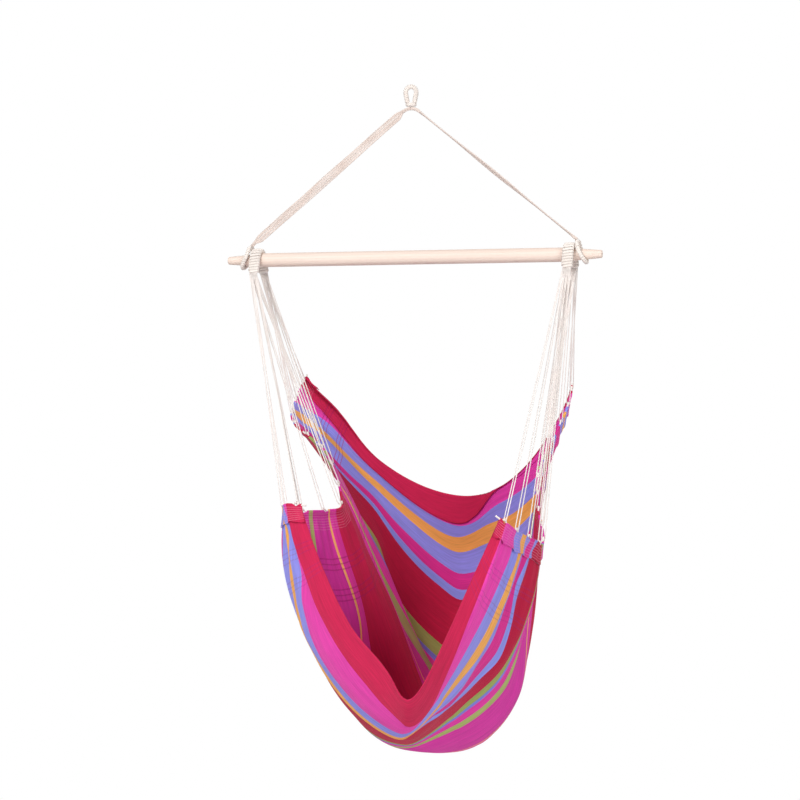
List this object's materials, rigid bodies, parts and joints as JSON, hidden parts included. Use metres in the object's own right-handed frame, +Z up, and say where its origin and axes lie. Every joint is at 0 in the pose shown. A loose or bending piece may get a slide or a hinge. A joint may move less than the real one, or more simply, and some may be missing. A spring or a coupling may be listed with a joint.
{
  "type": "hammock chair",
  "caption": "Hanging chair: striped woven cloth seat hung by doubled cotton cords from a tapered wooden spreader bar, with two cord bundles drawn up to one served rope eye.",
  "frame": {"origin": "the point inside the top eye where a hook bears", "axes": "+Z up, +X along the spreader bar, -Y towards the open front of the seat"},
  "size_m": [1.1, 0.9401, 1.8806],
  "materials": {
    "cord": "twisted cotton cord, matt",
    "serving": "cotton serving cord, matt",
    "wood": "sanded pale beech, unvarnished",
    "cloth": "woven cotton with crimson, pink, blue, orange and green stripes, matt"
  },
  "bodies": {
    "eye": {"top_eye": "cord", "eye_serving": "serving"},
    "throat": {"throat_bundle": "cord", "throat_whipping": "serving"},
    "suspension": {"suspension_bundle_left": "cord", "suspension_ring_left": "cord", "ring_serving_left": "serving", "suspension_bundle_right": "cord", "suspension_ring_right": "cord", "ring_serving_right": "serving"},
    "bar": {"spreader_bar": "wood"},
    "seat": {"seat_loop_left": "cord", "seat_loop_serving_left": "serving", "hem_rope_left": "cord", "seat_cord_left_01": "cord", "seat_cord_left_02": "cord", "seat_cord_left_03": "cord", "seat_cord_left_04": "cord", "seat_cord_left_05": "cord", "seat_cord_left_06": "cord", "seat_cord_left_07": "cord", "seat_cord_left_08": "cord", "seat_cord_left_09": "cord", "seat_cord_left_10": "cord", "seat_cord_left_11": "cord", "seat_cord_left_12": "cord", "seat_cord_left_13": "cord", "seat_cord_left_14": "cord", "seat_loop_right": "cord", "seat_loop_serving_right": "serving", "hem_rope_right": "cord", "seat_cord_right_01": "cord", "seat_cord_right_02": "cord", "seat_cord_right_03": "cord", "seat_cord_right_04": "cord", "seat_cord_right_05": "cord", "seat_cord_right_06": "cord", "seat_cord_right_07": "cord", "seat_cord_right_08": "cord", "seat_cord_right_09": "cord", "seat_cord_right_10": "cord", "seat_cord_right_11": "cord", "seat_cord_right_12": "cord", "seat_cord_right_13": "cord", "seat_cord_right_14": "cord", "seat_cloth": "cloth"}
  },
  "joints": [
    {"name": "chair_turn", "type": "hinge", "parent": "eye", "child": "throat", "pos_m": [0, 0, -0.0383], "axis": [0, 0, 1], "range_deg": [-180, 180], "stiffness_Nm_per_rad": 0.6},
    {"name": "chair_swing", "type": "hinge", "parent": "throat", "child": "suspension", "pos_m": [0, 0, -0.0548], "axis": [1, 0, 0], "range_deg": [-30, 30]},
    {"name": "bar_roll", "type": "hinge", "parent": "suspension", "child": "bar", "pos_m": [0, 0, -0.475], "axis": [1, 0, 0], "continuous": true},
    {"name": "seat_swing", "type": "hinge", "parent": "suspension", "child": "seat", "pos_m": [0, 0, -0.475], "axis": [1, 0, 0], "range_deg": [-30, 30]}
  ]
}
